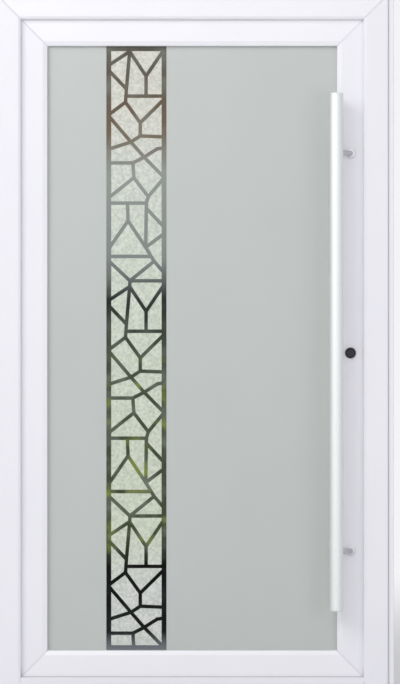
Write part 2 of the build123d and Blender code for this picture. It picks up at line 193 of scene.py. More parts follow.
# the door's own lines: edges are half widths along X; faces, fronts and backs lie along Y; tops and bottoms
# along Z
frontFace, innerFace = boxOf("frame_head")[0][1], boxOf("frame_lock_jamb")[1][1]
profileEdge, profileTop = boxOf("frame_lock_jamb")[1][0], boxOf("frame_head")[1][2]
nibEdge, nibBack = boxOf("frame_lock_jamb")[0][0], boxOf("frame_gasket")[0][1]
leafEdge, leafBottom = boxOf("leaf_bottom_rail")[1][0], boxOf("leaf_bottom_rail")[0][2]
leafFront, leafBack = boxOf("leaf_bottom_rail")[0][1], boxOf("leaf_bottom_rail")[1][1]
flangeEdge, flangeTop = boxOf("leaf_lock_stile")[1][0], boxOf("leaf_top_rail")[1][2]
flangeFront = boxOf("leaf_gasket")[1][1]
leafTop = flangeTop - (flangeEdge - leafEdge)
openingEdge, openingTop = boxOf("leaf_lock_stile")[0][0], boxOf("leaf_top_rail")[0][2]
openingBottom = boxOf("leaf_bottom_rail")[1][2]


pvcuLook = {
    "light": "F4F3F8", "dark": "EEEDF3",          # white with a trace of violet
    "patch": 450 * mm,                            # slow drift of the white along a profile
    "lineSpacing": 4 * mm, "lineLength": 900 * mm,   # drawn lines from the die, coarse enough to show
    "roughness": (0.27, 0.37), "bump": 0.03 * mm, "bumpShare": 0.35, "ior": 1.53,
    "grooveShade": "CDCCD2", "groove": 3 * mm,           # painted shade in the groove beside the edge trim
    "grooveShadeReach": 6 * mm, "grooveShadeBeside": 0.4,       # and how far and how much of that painted shade lies beside the groove
    "grooveShadeStep": 0.01,                             # share of that reach in which it thins at the groove's lip
}
# the profiles across are a lit copy of the same white: painted light, a shade lighter where light from above
# catches them
litAcrossLook = {**pvcuLook, "light": "F7F6FA", "dark": "F2F1F6"}
seamLook = {**pvcuLook, "light": "E6E5EA", "dark": "DEDDE3", "roughness": (0.5, 0.6)}


def extrudedPvcu(name, look, longAxis, shadedGroove=None):
    # PVC-U run out of a polished die: even white, a soft sheen, faint lines along it, painted shade in a
    # groove
    material, tree = startMaterial(name)
    place = addNode(tree, "ShaderNodeTexCoord").outputs["Object"]
    stretch = [1 / look["lineSpacing"]] * 3
    stretch[longAxis] = 1 / look["lineLength"]
    along = addNode(tree, "ShaderNodeMapping", {"Scale": stretch}, {"Vector": place})
    lines = addNode(tree, "ShaderNodeTexNoise", {"Scale": 1, "Detail": 2}, {"Vector": along.outputs[0]})
    patches = addNode(tree, "ShaderNodeTexNoise", {"Scale": 1 / look["patch"], "Detail": 2},
                      {"Vector": place})
    colour = addNode(tree, "ShaderNodeMix", {6: linear(look["light"]), 7: linear(look["dark"])},
                     {0: patches.outputs[0]}, data_type="RGBA")
    # painted shade: a darker tone in the groove that thins beside it, where shade falls
    if shadedGroove:
        axis, grooveStart = shadedGroove
        halfGroove, beside = look["groove"] / 2, look["grooveShadeBeside"]
        reach = halfGroove + look["grooveShadeReach"]
        lip = halfGroove / reach
        away = addNode(tree, "ShaderNodeSeparateXYZ", None, {0: place}).outputs[axis]
        away = addNode(tree, "ShaderNodeMath", None, {0: away}, operation="ABSOLUTE").outputs[0]
        away = addNode(tree, "ShaderNodeMath", {1: grooveStart + halfGroove}, {0: away},
                       operation="SUBTRACT").outputs[0]
        away = addNode(tree, "ShaderNodeMath", None, {0: away}, operation="ABSOLUTE").outputs[0]
        away = addNode(tree, "ShaderNodeMapRange", {"From Max": reach}, {"Value": away}).outputs[0]
        share = addNode(tree, "ShaderNodeValToRGB", None, {0: away},
                        [(lip, (1, 1, 1, 1)), (lip + look["grooveShadeStep"], (beside, beside, beside, 1)),
                         (1, (0, 0, 0, 1))])
        colour = addNode(tree, "ShaderNodeMix", {7: linear(look["grooveShade"])},
                         {0: share.outputs[0], 6: colour.outputs[2]}, data_type="RGBA")
    gloss = addNode(tree, "ShaderNodeMapRange",
                    {"To Min": look["roughness"][0], "To Max": look["roughness"][1]},
                    {"Value": lines.outputs[0]})
    relief = addNode(tree, "ShaderNodeBump", {"Strength": look["bumpShare"], "Distance": look["bump"]},
                     {"Height": lines.outputs[0]})
    finishMaterial(tree, {"IOR": look["ior"]},
                   {"Base Color": colour.outputs[2], "Roughness": gloss.outputs[0],
                    "Normal": relief.outputs[0]})
    return material


# a profile's long axis is 0 across, 1 through the door or 2 up; a painted-shade groove has its own axis and
# place
pvcuUpright = extrudedPvcu("extruded_pvcu_upright", pvcuLook, 2, shadedGroove=(0, profileEdge))
litPvcuAcross = extrudedPvcu("extruded_pvcu_across_painted_light", litAcrossLook, 0, shadedGroove=(2, profileTop))
seamPvcu = extrudedPvcu("scraped_pvcu_seam", seamLook, 1)
dress(pvcuUpright, "frame_lock_jamb", "frame_hinge_jamb", "leaf_lock_stile", "leaf_hinge_stile",
      "lock_side_bead", "hinge_side_bead", "edge_trim_lock_side", "edge_trim_hinge_side")
dress(litPvcuAcross, "frame_head", "leaf_top_rail", "leaf_bottom_rail",
      "top_bead", "bottom_bead", "edge_trim_head")
print("profiles dressed")


coatLook = {
    "white": ("F2F1F6", "EBEAF0"), "peel": 1.6 * mm, "bump": 0.05 * mm, "bumpShare": 0.3,
    "roughness": (0.3, 0.4), "ior": 1.5,
    "scuff": "B9B7BC", "scuffSize": (7.5 * mm, 150 * mm),   # width and length of a scrape
    "scuffShare": (0.66, 0.8), "scuffMost": 0.25,
}


def powderCoat(name, look, scuffed):
    # polyester powder baked on metal: flat white with a fine orange peel, scuffed where feet cross it
    material, tree = startMaterial(name)
    place = addNode(tree, "ShaderNodeTexCoord").outputs["Object"]
    peel = addNode(tree, "ShaderNodeTexNoise", {"Scale": 1 / look["peel"], "Detail": 1}, {"Vector": place})
    tone = addNode(tree, "ShaderNodeMix", {6: linear(look["white"][0]), 7: linear(look["white"][1])},
                   {0: peel.outputs[0]}, data_type="RGBA").outputs[2]
    if scuffed:
        wide, deep = look["scuffSize"]
        scrape = addNode(tree, "ShaderNodeMapping", {"Scale": (1 / wide, 1 / deep, 1 / deep)},
                         {"Vector": place})
        marks = addNode(tree, "ShaderNodeTexNoise", {"Scale": 1, "Detail": 4}, {"Vector": scrape.outputs[0]})
        share = addNode(tree, "ShaderNodeMapRange",
                        {"From Min": look["scuffShare"][0], "From Max": look["scuffShare"][1],
                         "To Max": look["scuffMost"]},
                        {"Value": marks.outputs[0]})
        tone = addNode(tree, "ShaderNodeMix", {7: linear(look["scuff"])},
                       {0: share.outputs[0], 6: tone}, data_type="RGBA").outputs[2]
    gloss = addNode(tree, "ShaderNodeMapRange",
                    {"To Min": look["roughness"][0], "To Max": look["roughness"][1]},
                    {"Value": peel.outputs[0]})
    relief = addNode(tree, "ShaderNodeBump", {"Strength": look["bumpShare"], "Distance": look["bump"]},
                     {"Height": peel.outputs[0]})
    finishMaterial(tree, {"IOR": look["ior"]},
                   {"Base Color": tone, "Roughness": gloss.outputs[0], "Normal": relief.outputs[0]})
    return material


coatedThreshold = powderCoat("powder_coated_aluminium", coatLook, True)
coatedHardware = powderCoat("powder_coated_steel", coatLook, False)
dress(coatedThreshold, "threshold")
dress(coatedHardware, "inside_backplate", *hingeHalves["frame"], *hingeHalves["leaf"])


rubberLook = {
    "tones": ("F0F1F2", "E6E8E9"), "grain": 2.5 * mm, "bump": 0.1 * mm, "bumpShare": 0.3,
    "roughness": 0.62, "specular": 0.35,
    "footTone": "CDCED1", "footHeights": (32 * mm, 60 * mm),   # darker towards the foot, below these heights
}


def epdmRubber(name, look):
    # EPDM extruded and cured: matt, pale as the door, slightly cloudy, darker towards the foot
    material, tree = startMaterial(name)
    place = addNode(tree, "ShaderNodeTexCoord").outputs["Object"]
    grain = addNode(tree, "ShaderNodeTexNoise", {"Scale": 1 / look["grain"], "Detail": 3}, {"Vector": place})
    tone = addNode(tree, "ShaderNodeMix", {6: linear(look["tones"][0]), 7: linear(look["tones"][1])},
                   {0: grain.outputs[0]}, data_type="RGBA")
    height = addNode(tree, "ShaderNodeSeparateXYZ", None, {0: place}).outputs[2]
    footShare = addNode(tree, "ShaderNodeMapRange",
                     {"From Min": look["footHeights"][1], "From Max": look["footHeights"][0]},
                     {"Value": height})
    tone = addNode(tree, "ShaderNodeMix", {7: linear(look["footTone"])},
                   {0: footShare.outputs[0], 6: tone.outputs[2]}, data_type="RGBA")
    relief = addNode(tree, "ShaderNodeBump", {"Strength": look["bumpShare"], "Distance": look["bump"]},
                     {"Height": grain.outputs[0]})
    finishMaterial(tree, {"Roughness": look["roughness"], "Specular IOR Level": look["specular"]},
                   {"Base Color": tone.outputs[2], "Normal": relief.outputs[0]})
    return material


sealRubber = epdmRubber("epdm_rubber", rubberLook)
dress(sealRubber, "outer_glazing_gasket")


stripLow, stripHigh = boxOf("motif_lines")
satinLook = {
    "field": ("CCD1CD", "C7CCC8"), "cells": ("E5E8E2", "C8CDC6"), "cloud": 260 * mm,
    # height up the strip from 0 to 1 and the painted tint of what shows through its cells there: a painted
    # view
    "tints": ((0.1, "FFFFFF"), (0.2, "FAFFEE"), (0.5, "FAFFF2"), (0.8, "FDFFFA"), (0.88, "FFFBF5")),
    "mottle": 8 * mm, "mottleShare": (0.36, 0.66),
    "etch": 0.9 * mm,                              # acid grain, drawn coarser than real so that it shows
    "bump": 0.1 * mm, "bumpShare": 0.08,
    "roughness": 0.42, "transmission": 0.15, "ior": 1.52,
    "coat": 0.7, "coatRoughness": 0.06,            # the polished outer face over the etched one
}


def satinGlass(name, look):
    # float glass etched with acid: an even grey-green veil that blurs what is behind, paler in the strip
    material, tree = startMaterial(name)
    place = addNode(tree, "ShaderNodeTexCoord").outputs["Object"]
    cloud = addNode(tree, "ShaderNodeTexNoise", {"Scale": 1 / look["cloud"], "Detail": 2}, {"Vector": place})
    mottle = addNode(tree, "ShaderNodeTexNoise", {"Scale": 1 / look["mottle"], "Detail": 3},
                     {"Vector": place})
    etch = addNode(tree, "ShaderNodeTexNoise", {"Scale": 1 / look["etch"], "Detail": 2}, {"Vector": place})
    field = addNode(tree, "ShaderNodeMix", {6: linear(look["field"][0]), 7: linear(look["field"][1])},
                    {0: cloud.outputs[0]}, data_type="RGBA")
    mottle = addNode(tree, "ShaderNodeMapRange",
                     {"From Min": look["mottleShare"][0], "From Max": look["mottleShare"][1]},
                     {"Value": mottle.outputs[0]})
    cells = addNode(tree, "ShaderNodeMix", {6: linear(look["cells"][0]), 7: linear(look["cells"][1])},
                    {0: mottle.outputs[0]}, data_type="RGBA")
    axes = addNode(tree, "ShaderNodeSeparateXYZ", None, {0: place}).outputs
    share = addNode(tree, "ShaderNodeMapRange", {"From Min": stripLow[2], "From Max": stripHigh[2]},
                    {"Value": axes[2]}).outputs[0]
    # painted view: the cells tinted by height with what lies behind and round the glass
    tint = addNode(tree, "ShaderNodeValToRGB", None, {0: share},
                   [(height, linear(colour)) for height, colour in look["tints"]])
    cells = addNode(tree, "ShaderNodeMix", {0: 1.0}, {6: cells.outputs[2], 7: tint.outputs[0]},
                    data_type="RGBA", blend_type="MULTIPLY")
    middle, half = (stripLow[0] + stripHigh[0]) / 2, (stripHigh[0] - stripLow[0]) / 2
    distance = addNode(tree, "ShaderNodeMath", {1: middle}, {0: axes[0]}, operation="SUBTRACT").outputs[0]
    distance = addNode(tree, "ShaderNodeMath", None, {0: distance}, operation="ABSOLUTE").outputs[0]
    inStrip = addNode(tree, "ShaderNodeMath", {1: half}, {0: distance}, operation="LESS_THAN").outputs[0]
    tone = addNode(tree, "ShaderNodeMix", None, {0: inStrip, 6: field.outputs[2], 7: cells.outputs[2]},
                   data_type="RGBA")
    relief = addNode(tree, "ShaderNodeBump", {"Strength": look["bumpShare"], "Distance": look["bump"]},
                     {"Height": etch.outputs[0]})
    finishMaterial(tree,
                   {"Roughness": look["roughness"], "Transmission Weight": look["transmission"],
                    "IOR": look["ior"], "Coat Weight": look["coat"], "Coat Roughness": look["coatRoughness"]},
                   {"Base Color": tone.outputs[2], "Normal": relief.outputs[0]})
    return material


dress(satinGlass("satin_float_glass", satinLook), "outer_pane")


clearLook = {
    "tints": ("FAFDFB", "F6FBF8"), "drift": 500 * mm, "ior": 1.52, "roughness": 0.02,
    "body": 0.22,                                  # the rest lets light straight through to the satin behind
}


def clearFloat(name, look):
    # float glass: clear with a trace of green, a sharp reflection on top
    material, tree = startMaterial(name)
    place = addNode(tree, "ShaderNodeTexCoord").outputs["Object"]
    drift = addNode(tree, "ShaderNodeTexNoise", {"Scale": 1 / look["drift"]}, {"Vector": place})
    tint = addNode(tree, "ShaderNodeMix", {6: linear(look["tints"][0]), 7: linear(look["tints"][1])},
                   {0: drift.outputs[0]}, data_type="RGBA")
    finishMaterial(tree,
                   {"Roughness": look["roughness"], "Transmission Weight": 1.0, "IOR": look["ior"],
                    "Alpha": look["body"]},
                   {"Base Color": tint.outputs[2]})
    return material


dress(clearFloat("clear_float_glass", clearLook), "inner_pane")


lineLook = {
    # height up the strip from 0 to 1 and the painted shade and reflections seen through the clear glass
    # there: dark over a grey foot, olive to half way, a dark belt, then pale, and brown at the top
    "depths": ((0.0, "7A7F84"), (0.03, "161917"), (0.14, "0C0E0C"), (0.2, "444C36"), (0.5, "484F42"),
               (0.58, "262A27"), (0.65, "848A88"), (0.79, "989D99"), (0.85, "746453"), (1.0, "5A564E")),
    # a painted pale reflection and a painted green glint come and go along the lines, each with its most by
    # height
    "veil": "8E968A", "veilSize": 65 * mm, "veilShare": (0.42, 0.75),
    "veilHeights": ((0.13, 0.05), (0.2, 0.55), (0.5, 0.5), (0.56, 0.1), (0.64, 0.5)),
    "glint": "7F8A45", "glintSize": 70 * mm, "glintShare": (0.54, 0.7),
    "glintHeights": ((0.13, 0), (0.18, 1), (0.45, 1), (0.5, 0)),
    "roughness": 0.1, "ior": 1.5, "specular": 0.06,
}


def clearLines(name, look):
    # bare glass lines in the satin: painted shade behind, painted pale reflections, now and then a green
    # glint
    material, tree = startMaterial(name)
    place = addNode(tree, "ShaderNodeTexCoord").outputs["Object"]
    height = addNode(tree, "ShaderNodeSeparateXYZ", None, {0: place}).outputs[2]
    share = addNode(tree, "ShaderNodeMapRange", {"From Min": stripLow[2], "From Max": stripHigh[2]},
                    {"Value": height}).outputs[0]
    # painted shade and reflections by height, for what is seen through the glass
    depth = addNode(tree, "ShaderNodeValToRGB", None, {0: share},
                    [(position, linear(colour)) for position, colour in look["depths"]])
    # painted pale reflection, coming and going along the lines
    veil = addNode(tree, "ShaderNodeTexNoise", {"Scale": 1 / look["veilSize"], "Detail": 2},
                   {"Vector": place})
    veil = addNode(tree, "ShaderNodeMapRange",
                   {"From Min": look["veilShare"][0], "From Max": look["veilShare"][1]},
                   {"Value": veil.outputs[0]})
    most = addNode(tree, "ShaderNodeValToRGB", None, {0: share},
                   [(position, (level, level, level, 1)) for position, level in look["veilHeights"]])
    veil = addNode(tree, "ShaderNodeMath", None, {0: veil.outputs[0], 1: most.outputs[0]},
                   operation="MULTIPLY")
    veiled = addNode(tree, "ShaderNodeMix", {7: linear(look["veil"])},
                     {0: veil.outputs[0], 6: depth.outputs[0]}, data_type="RGBA")
    # painted green glint, now and then along the lines
    spots = addNode(tree, "ShaderNodeTexNoise", {"Scale": 1 / look["glintSize"], "Detail": 2},
                    {"Vector": place})
    spots = addNode(tree, "ShaderNodeMapRange",
                    {"From Min": look["glintShare"][0], "From Max": look["glintShare"][1]},
                    {"Value": spots.outputs[0]}).outputs[0]
    zone = addNode(tree, "ShaderNodeValToRGB", None, {0: share},
                   [(position, (level, level, level, 1)) for position, level in look["glintHeights"]])
    amount = addNode(tree, "ShaderNodeMath", None, {0: spots, 1: zone.outputs[0]}, operation="MULTIPLY")
    tone = addNode(tree, "ShaderNodeMix", {7: linear(look["glint"])},
                   {0: amount.outputs[0], 6: veiled.outputs[2]}, data_type="RGBA")
    finishMaterial(tree,
                   {"Roughness": look["roughness"], "IOR": look["ior"],
                    "Specular IOR Level": look["specular"]},
                   {"Base Color": tone.outputs[2]})
    return material


dress(clearLines("clear_glass_lines", lineLook), "motif_lines")
print("glass dressed")


metalRelief = {"bump": 0.05 * mm, "bumpShare": 0.12}
steelLook = {
    **metalRelief, "tones": ("E7EAE9", "D9DCDB"), "roughness": (0.5, 0.66),
    "scratch": 0.5 * mm, "scratchLength": 60 * mm,
}
# the brackets' stainless, darker in tone than the bar's: painted shade, where the bar shades them
shadedCastLook = {
    **metalRelief, "tones": ("D3D3D6", "C1C1C5"), "roughness": (0.34, 0.46),
    "scratch": 1.2 * mm, "scratchLength": 1.6 * mm,
}
zincLook = {
    **metalRelief, "tones": ("C9CAC8", "B4B6B6"), "roughness": (0.3, 0.48),
    "scratch": 5 * mm, "scratchLength": 9 * mm,
}
millLook = {
    **metalRelief, "tones": ("D0D1D3", "BFC0C3"), "roughness": (0.28, 0.42),
    "scratch": 0.8 * mm, "scratchLength": 80 * mm,
}


def metal(name, look):
    # bare metal with its grain along Z: belt-brushed or cast stainless, mottled zinc plate or mill aluminium
    material, tree = startMaterial(name)
    place = addNode(tree, "ShaderNodeTexCoord").outputs["Object"]
    grain = addNode(tree, "ShaderNodeMapping",
                    {"Scale": (1 / look["scratch"], 1 / look["scratch"], 1 / look["scratchLength"])},
                    {"Vector": place})
    lines = addNode(tree, "ShaderNodeTexNoise", {"Scale": 1, "Detail": 3}, {"Vector": grain.outputs[0]})
    tone = addNode(tree, "ShaderNodeMix", {6: linear(look["tones"][0]), 7: linear(look["tones"][1])},
                   {0: lines.outputs[0]}, data_type="RGBA")
    gloss = addNode(tree, "ShaderNodeMapRange",
                    {"To Min": look["roughness"][0], "To Max": look["roughness"][1]},
                    {"Value": lines.outputs[0]})
    relief = addNode(tree, "ShaderNodeBump", {"Strength": look["bumpShare"], "Distance": look["bump"]},
                     {"Height": lines.outputs[0]})
    finishMaterial(tree, {"Metallic": 1.0},
                   {"Base Color": tone.outputs[2], "Roughness": gloss.outputs[0],
                    "Normal": relief.outputs[0]})
    return material


brushedStainless = metal("brushed_stainless_steel", steelLook)
shadedCastStainless = metal("cast_stainless_steel_painted_shade", shadedCastLook)
zincPlate = metal("zinc_plated_steel", zincLook)
dress(metal("mill_aluminium", millLook), "glazing_spacer")
dress(zincPlate, "lock_faceplate", "latch_bolt", "upper_hook_bolt", "lower_hook_bolt",
      "latch_keep", "upper_hook_keep", "lower_hook_keep")


roseLow, roseHigh = boxOf("cylinder_rose")
roseMiddle = (roseLow + roseHigh) / 2
bronzeLook = {
    "tones": ("2C2B2D", "3A393B"), "ring": 0.6 * mm, "waver": 0.4, "roughness": (0.28, 0.42), "metallic": 0.6,
}


def darkBronze(name, look):
    # zinc turned on a lathe and bronzed dark: close rings round the middle that catch the light
    material, tree = startMaterial(name)
    place = addNode(tree, "ShaderNodeTexCoord").outputs["Object"]
    centred = addNode(tree, "ShaderNodeMapping", {"Location": (-roseMiddle).tolist()}, {"Vector": place})
    rings = addNode(tree, "ShaderNodeTexWave",
                    {"Scale": 1 / (2 * math.pi * look["ring"]), "Distortion": look["waver"]},
                    {"Vector": centred.outputs[0]}, wave_type="RINGS", rings_direction="Y")
    tone = addNode(tree, "ShaderNodeMix", {6: linear(look["tones"][0]), 7: linear(look["tones"][1])},
                   {0: rings.outputs[1]}, data_type="RGBA")
    gloss = addNode(tree, "ShaderNodeMapRange",
                    {"To Min": look["roughness"][0], "To Max": look["roughness"][1]},
                    {"Value": rings.outputs[1]})
    finishMaterial(tree, {"Metallic": look["metallic"]},
                   {"Base Color": tone.outputs[2], "Roughness": gloss.outputs[0]})
    return material


bronze = darkBronze("bronzed_zinc", bronzeLook)
dress(bronze, "lock_cylinder")
print("metals dressed")


barSettings = {"edge": 0.4 * mm, "capRound": 4 * mm, "capSteps": 9, "steps": 96}


def pullBar(settings):
    # a tube turned about the bar's own line, and a rounded disc at each end of it
    low, high = boxOf("pull_bar")
    middle, radius = (low + high) / 2, (high[0] - low[0]) / 2
    foot, edge = (middle[0], middle[1], 0), settings["edge"]
    outlines = {"pull_bar": ("pullBar", [(0, low[2]), (radius - edge, low[2]), (radius, low[2] + edge),
                                         (radius, high[2] - edge), (radius - edge, high[2]), (0, high[2])])}
    for name, node, side, seat in (("pullBarTopCap", "pull_bar_top_cap", 1, high[2]),
                                   ("pullBarBottomCap", "pull_bar_bottom_cap", 0, low[2])):
        end = boxOf(node)[side][2]
        way = math.copysign(1, end - seat)
        disc = [(0, seat), (radius - edge, seat), (radius, seat + way * edge), (radius, end), (0, end)]
        outlines[node] = (name, softened(disc, [0, 0, 0, settings["capRound"], 0], settings["capSteps"]))
    for node, (name, outline) in outlines.items():
        points = turned(outline, foot, (0, 0, 1), settings["steps"])
        mesh = meshFromGrids(name, [{"points": points, "closeColumns": True}])
        addPiece(name, mesh, brushedStainless, "leaf", [node])
    return middle, radius


barMiddle, barRadius = pullBar(barSettings)


bracketSettings = {
    "rod": 9 * mm, "foot": 8 * mm, "collar": 11 * mm, "collarHeight": 1.5 * mm,
    "footEdge": 0.4 * mm, "footRound": 2 * mm, "collarRoot": 0.5 * mm, "collarRound": 0.6 * mm,
    "sunk": 4 * mm,                                # how far the rod goes into the bar
    "steps": 64, "roundSteps": 7, "rodRings": 3,
}


def bracket(name, node, settings):
    # a round foot turned about its screw, and a straight rod from its middle into the back of the bar
    low, high = boxOf(node)
    radius = (high[2] - low[2]) / 2
    seat = np.array([high[0] - radius, high[1], (low[2] + high[2]) / 2])
    collar, height = settings["collar"], settings["foot"]
    top = height + settings["collarHeight"]
    rounds = [settings[edge] for edge in ("footEdge", "footRound", "collarRoot", "collarRound")]
    foot = softened([(0, 0), (radius, 0), (radius, height), (collar, height), (collar, top), (0, top)],
                    [0, *rounds, 0], settings["roundSteps"])
    start = seat - (0, height / 2, 0)
    target = np.array([barMiddle[0], barMiddle[1], seat[2]])
    way = (target - start) / np.linalg.norm(target - start)
    end = target - way * (barRadius - settings["sunk"])
    rings = settings["rodRings"]
    rod = swept(np.linspace(start, end, rings), np.full(rings, settings["rod"]), (0, 0, 1), settings["steps"])
    mesh = meshFromGrids(name, [
        {"points": turned(foot, seat, (0, -1, 0), settings["steps"]), "closeColumns": True},
        {"points": rod, "closeColumns": True, "capped": True},
    ])
    addPiece(name, mesh, shadedCastStainless, "leaf", [node])


bracket("upperBracket", "upper_bracket", bracketSettings)
bracket("lowerBracket", "lower_bracket", bracketSettings)
print("pull bar built")


roseSettings = {
    "bore": 11.4 * mm, "dish": 13.6 * mm, "dishDepth": 0.8 * mm,
    # how far each edge is rounded
    "boreFoot": 0.2 * mm, "foot": 0.3 * mm, "rim": 2.6 * mm, "dishEdge": 0.4 * mm, "boreEdge": 0.3 * mm,
    "steps": 96, "roundSteps": 8,
}


def lockRose(settings):
    # a ring turned about the cylinder, round at its rim and dished a little towards the bore
    radius, height = (roseHigh[0] - roseLow[0]) / 2, roseHigh[1] - roseLow[1]
    rounds = [settings[edge] for edge in ("boreFoot", "foot", "rim", "dishEdge", "boreEdge")]
    outline = softened([(settings["bore"], 0), (radius, 0), (radius, height), (settings["dish"], height),
                        (settings["bore"], height - settings["dishDepth"])], rounds, settings["roundSteps"])
    seat = [roseMiddle[0], roseHigh[1], roseMiddle[2]]
    points = turned(outline, seat, (0, -1, 0), settings["steps"])
    mesh = meshFromGrids("lockRose", [{"points": points, "closeRows": True, "closeColumns": True}])
    addPiece("lockRose", mesh, bronze, "leaf", ["cylinder_rose"])


lockRose(roseSettings)


leverSettings = {
    "bend": 16 * mm, "endRound": 5 * mm, "steps": 56, "bendSteps": 14, "endSteps": 9,
    "sunk": 3 * mm,                                # how far its root goes into the plate
}


def insideLever(settings):
    # a round bar along a bent path: out from the plate, a quarter turn, then across to a rounded end
    low, high = boxOf("inside_lever")
    radius = (high[2] - low[2]) / 2
    height, root, front = (low[2] + high[2]) / 2, high[0] - radius, high[1] - radius
    start = (root, low[1] - settings["sunk"], height)
    many, last = settings["bendSteps"], settings["endSteps"]
    turn = softened([start, (root, front, height), (low[0], front, height)], [0, settings["bend"], 0], many)
    ease = np.linspace(0, math.pi / 2, last)
    endX = low[0] + settings["endRound"] * (1 - np.sin(ease))
    tip = np.stack([endX, np.full(last, front), np.full(last, height)], axis=1)
    path = np.vstack([[start], turn[many:2 * many + 1], tip])
    radii = np.full(len(path), radius)
    radii[-last:] = radius - settings["endRound"] * (1 - np.cos(ease))
    rings = swept(path, radii, (0, 0, 1), settings["steps"])
    mesh = meshFromGrids("insideLever", [{"points": rings, "closeColumns": True, "capped": True}])
    addPiece("insideLever", mesh, coatedHardware, "leaf", ["inside_lever"])


insideLever(leverSettings)
print("lock furniture built")


weldSettings = {
    "half": 3.6 * mm, "raised": 0.12 * mm, "rooted": 0.3 * mm, "rim": 2 * mm,
    "frameBevel": (8 * mm, 4 * mm), "leafBevel": (14 * mm, 5 * mm),   # width and depth
}


def seamStrip(profile, corner, inwards, outwards, settings):
    # a flat lens on a mitre: profile points (inset, depth) on the diagonal, spread half its width both ways
    profile = np.asarray(profile, float)
    spread = settings["half"] * np.array([(1, 0), (0, 0), (0, 1), (0, 0)])
    lift = outwards * np.array([0, settings["raised"], 0, -settings["rooted"]])
    points = np.zeros((len(profile), 4, 3))
    points[:, :, [0, 2]] = np.asarray(corner) + np.asarray(inwards) * (profile[:, None, :1] + spread[None])
    points[:, :, 1] = profile[:, 1:] + lift[None]
    return {"points": points, "closeColumns": True, "capped": True}


def weldSeams(settings):
    # the scraped seams where the profiles are welded, on the outside and inside of the frame and the leaf
    frameWidth, leafWidth = profileEdge - nibEdge, leafEdge - openingEdge
    rebateWidth = profileEdge - boxOf("threshold")[1][0]
    beadEdge = leafEdge - boxOf("lock_side_bead")[1][0]
    bevel, depth = settings["frameBevel"]
    frameOutside = [(0, frontFace), (frameWidth - bevel, frontFace), (frameWidth, frontFace + depth)]
    frameInside = [(0, innerFace), (rebateWidth - settings["rim"], innerFace)]
    bevel, depth = settings["leafBevel"]
    leafOutside = [(leafEdge - nibEdge, leafFront), (leafWidth - bevel, leafFront),
                   (leafWidth, leafFront + depth)]
    topInside = [(leafEdge - flangeEdge + settings["rim"], leafBack), (beadEdge, leafBack)]
    footInside = [(settings["rim"], leafBack), (beadEdge, leafBack)]
    frameGrids, leafGrids = [], []
    for side in (1, -1):
        frameCorner, leafCorner = (side * profileEdge, profileTop), (side * leafEdge, leafTop)
        footCorner = (side * leafEdge, leafBottom)
        frameGrids += [seamStrip(frameOutside, frameCorner, (-side, -1), -1, settings),
                       seamStrip(frameInside, frameCorner, (-side, -1), 1, settings)]
        leafGrids += [seamStrip(leafOutside, leafCorner, (-side, -1), -1, settings),
                      seamStrip(leafOutside, footCorner, (-side, 1), -1, settings),
                      seamStrip(topInside, leafCorner, (-side, -1), 1, settings),
                      seamStrip(footInside, footCorner, (-side, 1), 1, settings)]
    addPiece("frameWeldSeams", meshFromGrids("frameWeldSeams", frameGrids), seamPvcu, "frame")
    addPiece("leafWeldSeams", meshFromGrids("leafWeldSeams", leafGrids), seamPvcu, "leaf")


weldSeams(weldSettings)
print("weld seams built")


sealSettings = {
    "foot": 6 * mm, "footHeight": 2.2 * mm, "fin": 1.3 * mm, "lean": 2 * mm,
    "round": 0.7 * mm, "roundSteps": 5,
    "finTip": 0.7, "finRoot": 1.4, "lipTip": 1.2, "lipRoot": 2,   # widths as shares of the fin
    "shy": 0.3 * mm,                               # what a fin stops short of the face it meets
    "show": 3.2 * mm,                              # what the frame's seal shows past the frame's edge
    "fins": 3, "finWidth": 2.4 * mm, "finTaper": 0.25, "plate": 2 * mm,   # the comb under the leaf
    "treadHeight": 6 * mm,                         # of the threshold where the comb meets it
    "beadLip": (2 * mm, 2.6 * mm), "beadWaist": (0.5, 0.4), "beadRound": 0.3 * mm, "beadSteps": 4,
}


def finProfile(gap, settings):
    # a foot with one fin that leans back from it and stops just short of the face it meets
    foot, high, fin = settings["foot"], settings["footHeight"], settings["fin"]
    reach, tip = gap - settings["shy"], foot - settings["lean"]
    return softened([(0, 0), (foot, 0), (foot, high), (tip, reach), (tip - fin * settings["finTip"], reach),
                     (foot - fin * settings["finRoot"], high), (0, high)],
                    settings["round"], settings["roundSteps"])


def lipProfile(gap, edge, settings):
    # a foot behind the frame's edge with a lip that comes out past that edge and closes on the leaf
    high, fin, tip = settings["footHeight"], settings["fin"], edge + settings["show"]
    reach = gap - settings["shy"]
    return softened([(0, 0), (edge - fin, 0), (tip, reach - fin * settings["finTip"]), (tip, reach),
                     (tip - fin * settings["lipTip"], reach), (edge - fin * settings["lipRoot"], high),
                     (0, high)], settings["round"], settings["roundSteps"])


